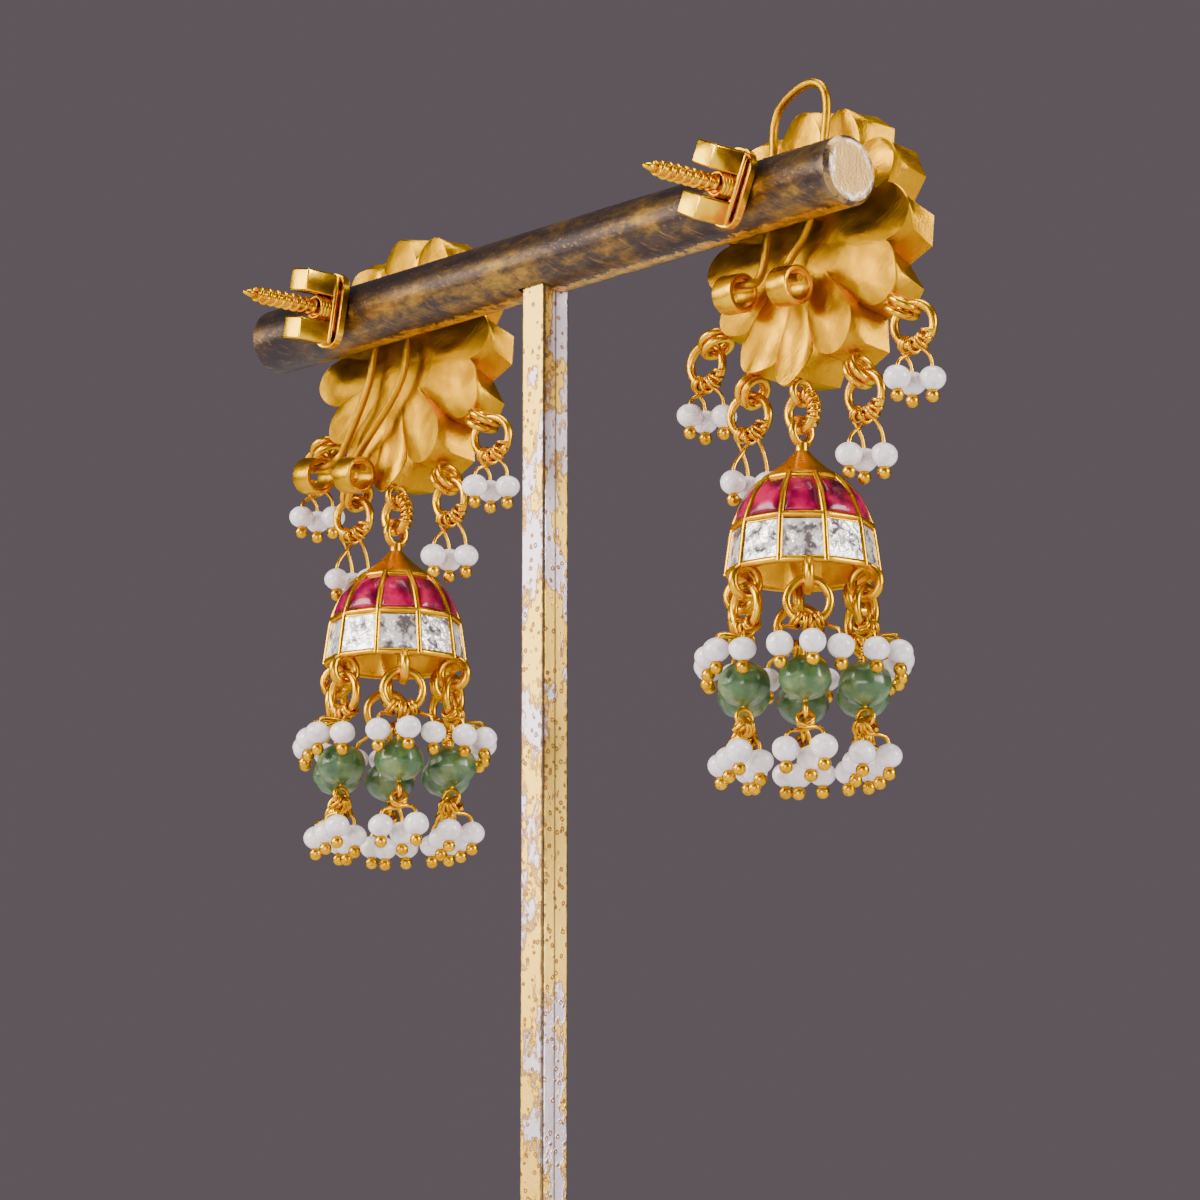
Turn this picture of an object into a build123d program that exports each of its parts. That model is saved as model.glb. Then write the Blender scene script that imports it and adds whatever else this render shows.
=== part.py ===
from build123d import *
from math import cos, sin, radians, sqrt
import os

# A pair of jhumka ear drops kept on a small T-bar stand.
# Row frame in mm: +Z up, origin at the centre of the base plate's underside,
# +X along the bar. The flower fronts face +Y and the screw posts point to -Y.

# ---- stand ----
BAR_Z = 126.0            # height of the bar's axis
BAR_R = 3.0
BAR_HALF = 38.25
BAR_CHAMFER = 0.35
POST_SIDE = 3.0          # square upright
SOCKET_SIDE = 3.4        # square socket in the bar's underside, with a dark gap round the post
SOCKET_DEPTH = 1.6
BASE_SIDE = 66.0
BASE_T = 3.0
BASE_CORNER = 4.0

# ---- ear stud: flower, screw post and loops, soldered together ----
FLOWER_BACK = 4.3        # Y of the flower's back sheet
FLOWER_T = 3.8           # depth of its side walls
FLOWER_DROP = -3.4       # flower centre below the screw post
PETALS = 12
PETAL_TURN = -3.0        # degrees, turn of the first petal
PETAL_R = 2.65           # radius of one lobe
PETAL_PITCH_R = 9.35     # lobe centres lie on this circle
HEART_R = 9.6            # disc that joins the lobes
PILLOW_R = 3.6           # radius of the ball that swells each petal's front
PILLOW_PITCH_R = 8.2
PILLOW_H = 0.7
BOSS_R, BOSS_T = 3.4, 1.1
SCREW_R = 0.7
SCREW_TIP = -13.7
SCREW_POINT = 1.5
SCREW_HOLE_R = 0.85      # hole drilled through the bar for the post

# ---- nut: a plate with two folded ears ----
NUT_BACK = -3.05         # Y of the face that bears on the bar
NUT_PLATE = (3.4, 0.8, 6.9)
NUT_STRIP = (2.6, 0.4, 5.6)
EAR = (2.5, 3.4, 2.1)    # size of one ear, folded solid
EAR_ROUND = 0.2
NUT_BORE_R = 0.82
NUT_HUB_R, NUT_HUB_L = 1.15, 1.1

# ---- wire support that hangs round the post behind the flower ----
SUPPORT_WIRE_R = 0.4
SUPPORT_Y = 3.65
TUBE_R, TUBE_WALL, TUBE_L = 1.7, 0.45, 2.3
TUBE_Y = 2.2

# ---- rings and bell ----
HANG_Y = 4.8             # plane in which ring and bell hang
MAIN_X = -0.6            # bottom loop and bell, from the screw's axis
LOOP_R, LOOP_WIRE = 0.95, 0.32
SIDE_LOOP_R, SIDE_LOOP_WIRE = 1.2, 0.35
MAIN_RING_R, MAIN_RING_WIRE = 1.55, 0.42
MAIN_RING_Z = -17.75
BAIL_R, BAIL_WIRE = 1.05, 0.36
BAIL_SLACK = 0.17
CAP_TOP = -20.5
CAP_NECK_R = 0.55
CAP_BRIM_R = 3.3
PANELS = 10
WALL = 1.05
BAR_W = 0.55             # width of the gold bars between stones
POCKET = 0.62            # depth of a stone's pocket
STONE_GAP = 0.1
STONE_BEVEL, STONE_PROUD = 0.3, 0.14
# bell outline: name of the level, height, radius at the bars
TOP_Z, TOP_R = -23.8, 3.45
SHOULDER_Z, SHOULDER_R = -25.5, 4.95
BELT_Z, BELT_R = -27.8, 5.9
RIM_Z, RIM_R = -31.75, 6.45
STRIP_H = 0.5            # height of the gold strips above and below the stones
RIM_LOOPS = 6
RIM_LOOP_R, RIM_LOOP_WIRE = 1.25, 0.42
RIM_LOOP_PITCH_R = 5.75

# ---- strands under the bell ----
RING_R, RING_WIRE = 1.8, 0.38
PEARL_R = 1.17
PEARL_HOLE_R = 0.3
PIN_R = 0.2
BALL_R = 0.68
EYE_R = 0.72
GREEN_R, GREEN_H = 2.33, 1.92
GREEN_FACETS = 12

SIDES = {
    # earring: screw X, turn in degrees of the nut, of the bell's first bar and of its first rim loop
    "left": dict(x=-25.6, nut_turn=12.0, bell_turn=16.9, rim_turn=-32.0),
    "right": dict(x=27.8, nut_turn=25.0, bell_turn=9.8, rim_turn=-40.0),
}
# loops on the flower's edge: petal angle, angle the ring hangs at, length below the ring
CLUSTERS = [
    dict(petal=-33, hang=-52, drop=0.9),
    dict(petal=-63, hang=-76, drop=1.5),
    dict(petal=-123, hang=-104, drop=2.2),
    dict(petal=-153, hang=-133, drop=0.9),
]
# three pearls of a cluster: offset across, offset outwards, extra drop
CLUSTER_PEARLS = [(-1.45, -0.35, 0.0), (1.35, -0.5, 0.35), (0.1, 1.6, 0.6)]
# upper pearls of a strand: offset across, offset outwards, extra drop
STRAND_PEARLS = [(-2.5, 2.1, 0.0), (0.1, 3.0, -0.1), (2.5, 2.0, 0.1)]
# lower pearls of a strand
TIP_PEARLS = [(-1.65, 0.45, 0.1), (0.5, -1.2, 0.5), (1.4, 1.45, 0.0)]
EYE_SHIFT = 0.32         # the two eyes on a strand's ring sit this far either side of its lowest point
FORK = 1.15              # the upper pearls' pins part this far outside the bead's pin
BEAD_NECK = 2.0          # bare pin above a green bead

def at(x, y, z):
    return Location((x, y, z + BAR_Z))


def along_y(r, y0, y1):
    """Round bar along Y from y0 to y1, on the local origin."""
    return Pos(0, (y0 + y1) / 2, 0) * Rot(90, 0, 0) * Cylinder(r, abs(y1 - y0))


def ring(r, wire, normal):
    """Closed wire ring whose plane has the given normal."""
    return Plane(origin=(0, 0, 0), z_dir=normal) * Torus(r, wire)


def rod_between(a, b, r):
    a, b = Vector(*a), Vector(*b)
    plane = Plane(origin=(a + b) * 0.5, z_dir=(b - a))
    return plane * Cylinder(r, (b - a).length)


def fuse(shapes):
    return shapes[0].fuse(*shapes[1:])


# ---------------------------------------------------------------- stand
def make_bar():
    bar = Rot(0, 90, 0) * Cylinder(BAR_R, 2 * BAR_HALF)
    bar = chamfer(bar.edges().filter_by(GeomType.CIRCLE), BAR_CHAMFER)
    for side in SIDES.values():
        bar -= Pos(side["x"], 0, 0) * along_y(SCREW_HOLE_R, -BAR_R - 1, BAR_R + 1)
    socket = Box(SOCKET_SIDE, SOCKET_SIDE, 2 * SOCKET_DEPTH)
    bar -= Pos(0, 0, -BAR_R) * socket
    return at(0, 0, 0) * bar


def make_post():
    top = BAR_Z - BAR_R + SOCKET_DEPTH
    height = top - BASE_T
    post = Box(POST_SIDE, POST_SIDE, height)
    post = fillet(post.edges().filter_by(Axis.Z), 0.3)
    return Pos(0, 0, BASE_T + height / 2) * post


def make_base():
    plate = Box(BASE_SIDE, BASE_SIDE, BASE_T)
    plate = fillet(plate.edges().filter_by(Axis.Z), BASE_CORNER)
    plate = chamfer(plate.faces().sort_by(Axis.Z)[-1].edges(), 0.6)
    return Pos(0, 0, BASE_T / 2) * plate


# ---------------------------------------------------------------- stud
def petal_point(angle, r):
    a = radians(angle)
    return r * cos(a), FLOWER_DROP + r * sin(a)


def make_flower():
    """Shallow box with twelve round petals, a pillowed front and a raised heart."""
    face = Circle(HEART_R)
    for k in range(PETALS):
        a = radians(PETAL_TURN + 360 / PETALS * k)
        face += Pos(PETAL_PITCH_R * cos(a), PETAL_PITCH_R * sin(a)) * Circle(PETAL_R)
    body = extrude(face, FLOWER_T)
    heart = Pos(0, 0, FLOWER_T) * Cylinder(
        BOSS_R, BOSS_T, align=(Align.CENTER, Align.CENTER, Align.MIN))
    heart = fillet(heart.edges().sort_by(Axis.Z)[-1], 0.7)
    body += heart
    for k in range(PETALS):
        a = radians(PETAL_TURN + 360 / PETALS * k)
        cap = Pos(PILLOW_PITCH_R * cos(a), PILLOW_PITCH_R * sin(a), FLOWER_T + PILLOW_H - PILLOW_R)
        cap = cap * Sphere(PILLOW_R)
        cap &= Pos(0, 0, FLOWER_T + 2) * Box(40, 40, 4.2)
        body += cap
    # local +Z of the sketch becomes +Y, local +Y becomes +Z
    flat = Plane(origin=(0, FLOWER_BACK, FLOWER_DROP), x_dir=(-1, 0, 0), z_dir=(0, 1, 0))
    return flat * mirror(body, Plane.YZ)


def make_screw():
    shaft_end = SCREW_TIP + SCREW_POINT
    shaft = along_y(SCREW_R, shaft_end, FLOWER_BACK + 0.5)
    point = Cone(SCREW_R, 0.12, SCREW_POINT)
    point = Pos(0, SCREW_TIP + SCREW_POINT / 2, 0) * Rot(90, 0, 0) * point
    return shaft + point


def side_loop(angle):
    """Loop on a petal's tip, standing in the plane of the petal's axis and Y."""
    x, z = petal_point(angle, PETAL_PITCH_R + PETAL_R + 0.9)
    a = radians(angle)
    return Pos(x, HANG_Y + 0.6, z) * ring(SIDE_LOOP_R, SIDE_LOOP_WIRE, (-sin(a), 0, cos(a)))


def make_stud(side):
    loop_z = MAIN_RING_Z + MAIN_RING_R - MAIN_RING_WIRE - 0.1 + LOOP_R - LOOP_WIRE
    loop = Pos(MAIN_X, HANG_Y, loop_z) * ring(LOOP_R, LOOP_WIRE, (1, 0, 0))
    body = make_flower() + make_screw() + loop
    for spec in CLUSTERS:
        body += side_loop(spec["petal"])
    return at(side["x"], 0, 0) * body


def make_nut(side):
    depth = NUT_PLATE[1]
    plate = Box(*NUT_PLATE)
    plate = fillet(plate.edges().filter_by(Axis.Y), 1.5)
    body = Pos(0, NUT_BACK - depth / 2, 0) * plate
    strip_y = NUT_BACK - depth - NUT_STRIP[1] / 2
    body += Pos(0, strip_y, 0) * Box(*NUT_STRIP)
    ear_y = NUT_BACK - depth - NUT_STRIP[1] - EAR[1] / 2
    for up in (1, -1):
        ear = Box(*EAR)
        ear = fillet(ear.edges(), EAR_ROUND)
        body += Pos(0, ear_y + 0.05, up * (NUT_STRIP[2] / 2 + 0.35 - EAR[2] / 2)) * ear
    hub_end = strip_y - NUT_HUB_L
    body += along_y(NUT_HUB_R, hub_end, strip_y)
    body -= along_y(NUT_BORE_R, hub_end - 1, NUT_BACK + 1)
    return at(side["x"], 0, 0) * Rot(0, side["nut_turn"], 0) * body


# ---------------------------------------------------------------- wire support
# points of the bent wire: X across, Z up, from the left tube's leg over the post to the right one
SUPPORT = {
    "right": dict(
        legs=[(-4.1, -6.0), (-3.3, -2.0), (-2.8, 5.1), (-2.9, 8.3), (2.4, 10.5),
              (4.3, 8.6), (3.6, 4.0), (2.0, -2.2), (-1.2, -5.2)],
        bends=[1.5, 6.0, 1.2, 1.3, 0.9, 4.0, 4.0], tubes=(-5.9, 0.7), tube_z=-7.25, tilt=-5.2),
    "left": dict(
        legs=[(-7.6, -11.3), (-6.9, -10.4), (-2.9, -2.4), (-1.5, 1.15), (1.7, 1.35),
              (2.3, -2.2), (1.6, -6.0), (-4.2, -10.9), (-5.5, -12.0)],
        bends=[1.0, 1.5, 1.2, 1.2, 2.0, 2.0, 0.7], tubes=(-9.5, -3.6), tube_z=-13.4, tilt=-9.0),
}


def support_tube_places(name):
    spec = SUPPORT[name]
    mid = sum(spec["tubes"]) / 2
    places = []
    for x in spec["tubes"]:
        z = spec["tube_z"] + (x - mid) * sin(radians(spec["tilt"]))
        places.append((x, z))
    return places


def make_support_wire(name, side):
    spec = SUPPORT[name]
    (xa, za), (xb, zb) = support_tube_places(name)
    lift = TUBE_R - TUBE_WALL - SUPPORT_WIRE_R - 0.12
    slope = sin(radians(spec["tilt"]))
    reach = TUBE_L / 2 + 0.25
    leg_a, leg_b = spec["legs"][0][0], spec["legs"][-1][0]
    foot_a = [(xa - reach, TUBE_Y, za + lift - reach * slope),
              (leg_a, TUBE_Y, za + lift + (leg_a - xa) * slope)]
    foot_b = [(leg_b, TUBE_Y, zb + lift + (leg_b - xb) * slope),
              (xb + reach, TUBE_Y, zb + lift + reach * slope)]
    legs = [(x, SUPPORT_Y, z) for x, z in spec["legs"]]
    points = foot_a + legs + foot_b
    bends = [0.5, 0.6] + spec["bends"] + [0.6, 0.5]
    path = FilletPolyline(*points, radius=bends)
    section = Plane(origin=path @ 0, z_dir=path % 0) * Circle(SUPPORT_WIRE_R)
    return at(side["x"], 0, 0) * sweep(section, path=path)


def make_support_tubes(name, side):
    tubes = []
    tilt = SUPPORT[name]["tilt"]
    for x, z in support_tube_places(name):
        tube = Cylinder(TUBE_R, TUBE_L) - Cylinder(TUBE_R - TUBE_WALL, TUBE_L + 1)
        tubes.append(at(side["x"], 0, 0) * Pos(x, TUBE_Y, z) * Rot(0, 90 - tilt, 0) * tube)
    return tubes


# ---------------------------------------------------------------- pearls on pins
def pearl(x, y, z):
    ball = Sphere(PEARL_R) - Cylinder(PEARL_HOLE_R, 3 * PEARL_R)
    return Pos(x, y, z) * ball


def pin_tree(eye_at, eye_normal, eye_drop, lean, pearls):
    """Eye round a ring, a neck that leans outwards, and one bent pin with a ball tip for each pearl."""
    ex, ey, ez = eye_at
    top = (ex, ey, ez - EYE_R)
    neck = (ex + lean, ey, ez - EYE_R - eye_drop)
    parts = [Pos(*eye_at) * ring(EYE_R, PIN_R, eye_normal), Pos(*neck) * Sphere(PIN_R * 1.6)]
    if eye_drop:
        parts.append(rod_between(top, neck, PIN_R))
    for x, y, z in pearls:
        elbow = (x, y, z + PEARL_R + 0.35)
        tip = (x, y, z - PEARL_R - 0.1 - BALL_R)
        parts.append(rod_between(neck, elbow, PIN_R))
        parts.append(Pos(*elbow) * Sphere(PIN_R * 1.25))
        parts.append(rod_between(elbow, tip, PIN_R))
        parts.append(Pos(*tip) * Sphere(BALL_R))
    return fuse(parts)


def make_stud_clusters(side):
    rings, pins, pearls = [], [], []
    for spec in CLUSTERS:
        x, z = petal_point(spec["petal"], PETAL_PITCH_R + PETAL_R + 1.1)
        g = radians(spec["hang"])
        cx, cz = x + RING_R * cos(g), z + RING_R * sin(g)
        y = HANG_Y + 0.6
        rings.append(Pos(cx, y, cz) * ring(RING_R, RING_WIRE, (0, 1, 0)))
        eye = (cx, y, cz - RING_R - (EYE_R - PIN_R - RING_WIRE - 0.03) * 0.5)
        level = eye[2] - EYE_R - spec["drop"] - PEARL_R - 0.35
        places = [(cx + a, y - b, level - d) for a, b, d in CLUSTER_PEARLS]
        pins.append(pin_tree(eye, (1, 0, 0), spec["drop"], 0, places))
        pearls += [pearl(*p) for p in places]
    here = at(side["x"], 0, 0)
    return [here * s for s in rings], [here * s for s in pins], [here * s for s in pearls]


# ---------------------------------------------------------------- bell
def decagon(r, z, turn):
    return Pos(0, 0, z) * Rot(0, 0, turn) * RegularPolygon(r, PANELS, rotation=0)


def bell_radius(z):
    levels = [(TOP_Z, TOP_R), (SHOULDER_Z, SHOULDER_R), (BELT_Z, BELT_R), (RIM_Z, RIM_R)]
    for (z0, r0), (z1, r1) in zip(levels, levels[1:]):
        if z0 >= z >= z1:
            return r0 + (r1 - r0) * (z0 - z) / (z0 - z1)
    return RIM_R


def panel_corners(z_top, z_low, inset):
    """Outline of one panel's stone as (height, half width), with its corners cut."""
    half_angle = radians(180 / PANELS)
    cut = 0.42
    slope = (bell_radius(z_low) - bell_radius(z_top)) / (z_top - z_low)

    def half(z):
        r = bell_radius(z_top) + slope * (z_top - z)
        return r * sin(half_angle) - BAR_W / 2 - inset

    top, low = z_top - inset, z_low + inset
    return [(top, half(top) - cut), (top - cut, half(top - cut)),
            (low + cut, half(low + cut)), (low, half(low) - cut)]


def chord_depth(z, z_top, z_low):
    r = bell_radius(z_top)
    r += (bell_radius(z_low) - r) * (z_top - z) / (z_top - z_low)
    return r * cos(radians(180 / PANELS))


def panel_pocket(z_top, z_low):
    """Cutter for one stone's seat; its floor is flat, in the local +X direction."""
    sections = []
    for z in (z_top, z_low):
        flat = chord_depth(z, z_top, z_low)
        half = bell_radius(z) * sin(radians(180 / PANELS)) - BAR_W / 2
        corners = [(flat - POCKET, -half), (flat + 1.2, -half), (flat + 1.2, half), (flat - POCKET, half)]
        sections.append(Pos(0, 0, z) * make_face(Polyline(*corners, close=True)))
    return loft(sections, ruled=True)


def cut_stone(z_top, z_low):
    """Stone with a table and a bevelled facet on every side and corner."""
    points = []
    face = cos(radians(180 / PANELS))
    layers = [(STONE_GAP, "back"), (STONE_GAP, "girdle"), (STONE_GAP + STONE_BEVEL, "table")]
    for inset, layer in layers:
        outline = panel_corners(z_top, z_low, inset)
        if layer != "back" and z_low < SHOULDER_Z < z_top:
            (za, ha), (zb, hb) = outline[1], outline[2]
            outline.append((SHOULDER_Z, ha + (hb - ha) * (za - SHOULDER_Z) / (za - zb)))
        for z, half in outline:
            depth = {"back": chord_depth(z, z_top, z_low) - POCKET + 0.06,
                     "girdle": bell_radius(z) * face - 0.1,
                     "table": bell_radius(z) * face + STONE_PROUD}[layer]
            points += [(depth, half, z), (depth, -half, z)]
    return ConvexPolyhedron(points)


def around(shape, turn, count):
    return [Rot(0, 0, turn + 360 / count * (k + 0.5)) * shape for k in range(count)]


def stone_rows():
    ruby = (TOP_Z - STRIP_H, BELT_Z + STRIP_H * 0.5)
    polki = (BELT_Z - STRIP_H * 0.5, RIM_Z + STRIP_H)
    return ruby, polki


def make_bell(side):
    turn = side["bell_turn"]
    outer = loft([decagon(TOP_R, TOP_Z, turn), decagon(SHOULDER_R, SHOULDER_Z, turn),
                  decagon(BELT_R, BELT_Z, turn), decagon(RIM_R, RIM_Z, turn)], ruled=True)
    inner = loft([decagon(SHOULDER_R - 1.9, SHOULDER_Z + 0.4, turn),
                  decagon(BELT_R - WALL - 0.1, BELT_Z, turn),
                  decagon(RIM_R - WALL, RIM_Z - 0.5, turn)], ruled=True)
    body = outer - inner
    ruby, polki = stone_rows()
    for heights in (ruby, polki):
        pocket = panel_pocket(*heights)
        for cutter in around(pocket, turn, PANELS):
            body -= cutter
    neck_low = CAP_TOP - 0.65
    with BuildPart() as cap:
        with BuildSketch(Plane.XZ):
            with BuildLine():
                Polyline((0, TOP_Z - 0.3), (0, CAP_TOP), (CAP_NECK_R, CAP_TOP), (CAP_NECK_R, neck_low))
                ThreePointArc((CAP_NECK_R, neck_low), (1.7, CAP_TOP - 1.8), (CAP_BRIM_R, TOP_Z + 0.35))
                Line((CAP_BRIM_R, TOP_Z + 0.35), (3.55, TOP_Z + 0.1))
                Polyline((3.55, TOP_Z + 0.1), (3.4, TOP_Z - 0.2), (0, TOP_Z - 0.3))
            make_face()
        revolve(axis=Axis.Z)
    body += cap.part
    pivot = MAIN_RING_Z - MAIN_RING_R
    bail_z = pivot - BAIL_SLACK
    body += Pos(0, 0, bail_z) * ring(BAIL_R, BAIL_WIRE, (1, 0, 0))
    for k in range(RIM_LOOPS):
        a = radians(side["rim_turn"] + 360 / RIM_LOOPS * k)
        loop = ring(RIM_LOOP_R, RIM_LOOP_WIRE, (-sin(a), cos(a), 0))
        body += Pos(RIM_LOOP_PITCH_R * cos(a), RIM_LOOP_PITCH_R * sin(a), rim_loop_z()) * loop
    return body


def rim_loop_z():
    return RIM_Z - RIM_LOOP_R + 0.05


def make_strands(name, side):
    """Six strands: ring, three pearls on pins, a cut green bead, and three pearls below it."""
    out = dict(rings=[], pins=[], pearls=[], beads=[], bead_pins=[], tip_pins=[], tip_pearls=[])
    ring_top = rim_loop_z() - RIM_LOOP_R + RIM_LOOP_WIRE + RING_WIRE + 0.1
    ring_z = ring_top - RING_R
    link = ring(RING_R, RING_WIRE, (1, 0, 0))
    eye_z = ring_z - sqrt(RING_R ** 2 - EYE_SHIFT ** 2) - 0.03
    level = eye_z - EYE_R - 0.35 - PEARL_R
    upper_places = [(out_by, across, level - drop) for across, out_by, drop in STRAND_PEARLS]
    upper_tree = pin_tree((0, EYE_SHIFT, eye_z), (0, 1, 0), 0.25, FORK, upper_places)
    # the green bead's pin has an eye at each end; the tip's eye hangs in the lower one
    bead_z = eye_z - EYE_R - BEAD_NECK - GREEN_H
    low_eye_z = bead_z - GREEN_H - 0.2 - EYE_R
    bead_pin = fuse([Pos(0, 0, eye_z) * ring(EYE_R, PIN_R, (0, 1, 0)),
                     Pos(0, 0, low_eye_z) * ring(EYE_R, PIN_R, (0, 1, 0)),
                     rod_between((0, 0, eye_z - EYE_R), (0, 0, low_eye_z + EYE_R), PIN_R)])
    bead_pin = Pos(0, -EYE_SHIFT, 0) * bead_pin
    bead = Pos(0, -EYE_SHIFT, bead_z) * green_bead()
    tip_eye = (0, -EYE_SHIFT, low_eye_z - 2 * EYE_R + 2 * PIN_R + 0.1)
    tip_level = tip_eye[2] - EYE_R - 0.25 - PEARL_R
    tip_places = [(out_by, across - EYE_SHIFT, tip_level - drop) for across, out_by, drop in TIP_PEARLS]
    tip_tree = pin_tree(tip_eye, (1, 0, 0), 0.0, 0, tip_places)
    for k in range(RIM_LOOPS):
        turn = side["rim_turn"] + 360 / RIM_LOOPS * k
        place = Rot(0, 0, turn) * Pos(RIM_LOOP_PITCH_R, 0, 0)
        out["rings"].append(place * Pos(0, 0, ring_z) * link)
        out["pins"].append(place * upper_tree)
        out["pearls"] += [place * pearl(*p) for p in upper_places]
        out["beads"].append(place * bead)
        out["bead_pins"].append(place * bead_pin)
        out["tip_pins"].append(place * tip_tree)
        out["tip_pearls"] += [place * pearl(*p) for p in tip_places]
    return out


def green_bead():
    """Faceted round bead: flats between five rings of corners, drilled top to bottom."""
    profile = [(0.5, 1.0), (0.85, 0.6), (1.0, 0.0), (0.85, -0.6), (0.5, -1.0)]
    rings = []
    for r, z in profile:
        rings.append(Pos(0, 0, z * GREEN_H) * RegularPolygon(r * GREEN_R, GREEN_FACETS))
    bead = loft(rings, ruled=True)
    return bead - Cylinder(PEARL_HOLE_R, 3 * GREEN_R)


def write(name, shapes):
    shapes = shapes if isinstance(shapes, list) else [shapes]
    solids = [s for shape in shapes for s in shape.solids()]
    shape = solids[0] if len(solids) == 1 else Compound(children=solids)
    export_step(shape, f"parts/{name}.step")
    print(name, len(solids), round(sum(s.volume for s in solids), 2))


def make_earring(name, side):
    write(f"stud_{name}", make_stud(side))
    write(f"nut_{name}", make_nut(side))
    write(f"support_wire_{name}", make_support_wire(name, side))
    write(f"support_tubes_{name}", make_support_tubes(name, side))
    rings, pins, pearls = make_stud_clusters(side)
    write(f"stud_rings_{name}", rings)
    write(f"stud_pins_{name}", pins)
    write(f"stud_pearls_{name}", pearls)
    main_ring = Pos(MAIN_X, HANG_Y, MAIN_RING_Z) * ring(MAIN_RING_R, MAIN_RING_WIRE, (0, 1, 0))
    write(f"main_ring_{name}", at(side["x"], 0, 0) * main_ring)
    here = at(side["x"] + MAIN_X, HANG_Y, 0)
    turn = side["bell_turn"]
    ruby, polki = stone_rows()
    write(f"bell_{name}", here * make_bell(side))
    rubies = around(cut_stone(*ruby), turn, PANELS)
    write(f"rubies_{name}", [here * s for s in rubies])
    clear = around(cut_stone(*polki), turn, PANELS)
    write(f"polki_{name}", [here * s for s in clear])
    strands = make_strands(name, side)
    for part, node in (("rings", "strand_rings"), ("pins", "strand_pins"), ("pearls", "strand_pearls"),
                       ("beads", "green_beads"), ("bead_pins", "green_pins"),
                       ("tip_pins", "tip_pins"), ("tip_pearls", "tip_pearls")):
        write(f"{node}_{name}", [here * s for s in strands[part]])


os.makedirs("parts", exist_ok=True)
write("bar", make_bar())
write("upright", make_post())
write("base", make_base())
for side_name, side_spec in SIDES.items():
    make_earring(side_name, side_spec)
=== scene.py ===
from math import atan2, cos, pi, radians, sin, sqrt, tau

import bmesh
import bpy
from mathutils import Matrix, Vector, noise


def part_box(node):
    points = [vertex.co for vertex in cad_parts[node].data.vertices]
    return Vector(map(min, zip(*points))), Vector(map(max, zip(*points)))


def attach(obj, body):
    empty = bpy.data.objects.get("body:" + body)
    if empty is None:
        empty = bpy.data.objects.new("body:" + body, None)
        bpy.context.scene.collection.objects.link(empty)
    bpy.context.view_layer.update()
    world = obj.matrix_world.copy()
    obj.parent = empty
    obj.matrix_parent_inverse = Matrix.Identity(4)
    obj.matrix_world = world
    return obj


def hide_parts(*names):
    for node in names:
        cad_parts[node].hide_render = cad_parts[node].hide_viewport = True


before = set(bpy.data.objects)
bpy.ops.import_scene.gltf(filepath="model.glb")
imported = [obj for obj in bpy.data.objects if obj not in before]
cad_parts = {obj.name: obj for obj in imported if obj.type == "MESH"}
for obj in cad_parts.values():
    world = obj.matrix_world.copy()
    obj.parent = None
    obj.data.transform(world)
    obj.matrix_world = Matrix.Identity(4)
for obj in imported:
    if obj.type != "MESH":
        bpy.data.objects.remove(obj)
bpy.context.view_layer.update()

# Camera: a long lens a little below the crossbar, looking up at the backs of both earrings.
# It stands off the near end of the bar, so the bar runs away from it to the left.
MM = 0.001
CAMERA_PLACE = (0.3199, -0.2798, 0.0084)
CAMERA_TILT, CAMERA_TURN = radians(90 + 11.60), radians(48.18)
camera_data = bpy.data.cameras.new("camera")
camera = bpy.data.objects.new("camera", camera_data)
bpy.context.collection.objects.link(camera)
camera.location = CAMERA_PLACE
camera.rotation_euler = (CAMERA_TILT, 0, CAMERA_TURN)
camera_data.sensor_width = 36
camera_data.lens = 150
camera_data.clip_start = 0.01
bpy.context.scene.camera = camera

# Studio: a pale floor in a dim room. Large soft lights stand to the left, to the right and
# overhead, and two weak ones fill in from the far left and from low in front, so that polished
# metal shows bright and deep bands.
world = bpy.data.worlds.new("studio")
bpy.context.scene.world = world
world.use_nodes = True
room = world.node_tree.nodes["Background"]
room.inputs["Color"].default_value = (0.78, 0.62, 0.72, 1)
room.inputs["Strength"].default_value = 0.155


def soft_light(name, place, target, size, watts, colour):
    """A rectangular light that faces a target. Places and sizes are in metres."""
    data = bpy.data.lights.new(name, "AREA")
    data.shape = "RECTANGLE"
    data.size, data.size_y = size
    data.energy = watts
    data.color = colour
    light = bpy.data.objects.new(name, data)
    bpy.context.collection.objects.link(light)
    light.location = place
    light.rotation_euler = (Vector(target) - Vector(place)).to_track_quat("-Z", "Y").to_euler()


soft_light("key", (-0.16, -0.50, 0.34), (0, 0, 0.11), (0.24, 0.30), 5.0, (1.0, 0.97, 0.92))
soft_light("side", (0.52, 0.22, 0.24), (0, 0, 0.11), (0.16, 0.26), 3.4, (1.0, 0.98, 0.95))
soft_light("top", (0.05, 0.02, 0.60), (0, 0, 0.11), (0.26, 0.26), 2.6, (0.97, 0.98, 1.0))
soft_light("left", (-0.37, -0.33, 0.21), (0, 0, 0.11), (0.15, 0.20), 0.75, (1.0, 0.96, 0.88))
soft_light("front", (0.30, -0.46, 0.06), (0, 0, 0.10), (0.20, 0.12), 1.1, (1.0, 0.96, 0.92))

FLOOR_SIZE, FLOOR_GAP = 15.0, 0.2 * MM
floor_bm = bmesh.new()
bmesh.ops.create_grid(floor_bm, x_segments=1, y_segments=1, size=FLOOR_SIZE)
floor_mesh = bpy.data.meshes.new("floor")
floor_bm.to_mesh(floor_mesh)
floor_bm.free()
floor_piece = bpy.data.objects.new("floor", floor_mesh)
bpy.context.collection.objects.link(floor_piece)
floor_piece.location.z = -FLOOR_GAP
floor_finish = bpy.data.materials.new("floor_finish")
floor_finish.use_nodes = True
floor_shader = floor_finish.node_tree.nodes["Principled BSDF"]
floor_shader.inputs["Base Color"].default_value = (0.74, 0.73, 0.74, 1)
floor_shader.inputs["Roughness"].default_value = 0.7
floor_mesh.materials.append(floor_finish)


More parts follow.
